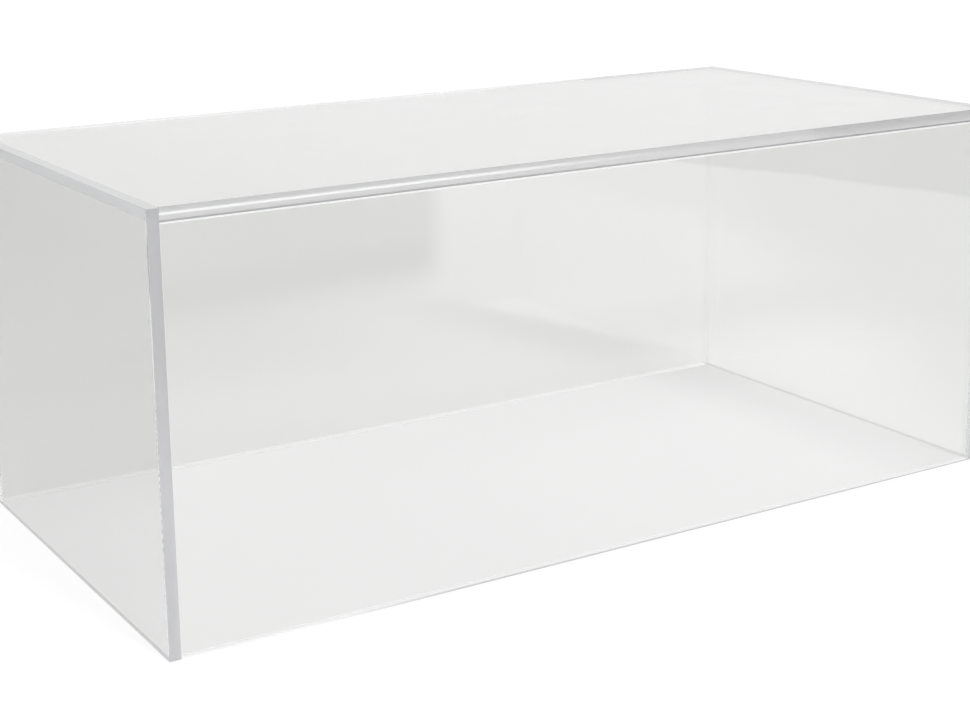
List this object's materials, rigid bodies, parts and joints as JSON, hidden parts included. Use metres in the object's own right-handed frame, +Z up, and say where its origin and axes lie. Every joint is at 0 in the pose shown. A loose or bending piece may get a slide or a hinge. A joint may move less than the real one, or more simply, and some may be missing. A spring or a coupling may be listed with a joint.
{
  "type": "display case",
  "caption": "Clear rectangular display cover of cemented acrylic sheet, open underneath, set down over a model to keep dust off it.",
  "frame": {"origin": "middle of the footprint, on the surface that the case stands on", "axes": "+X along the length to the right seen from the front, +Y from the front to the back, +Z up"},
  "size_m": [0.35, 0.17, 0.142],
  "materials": {
    "clear_acrylic": "clear cast acrylic with polished faces and satin cut edges"
  },
  "bodies": {
    "root": {"left_end_sheet": "clear_acrylic", "right_end_sheet": "clear_acrylic", "front_sheet": "clear_acrylic", "back_sheet": "clear_acrylic", "top_sheet": "clear_acrylic"}
  },
  "joints": []
}
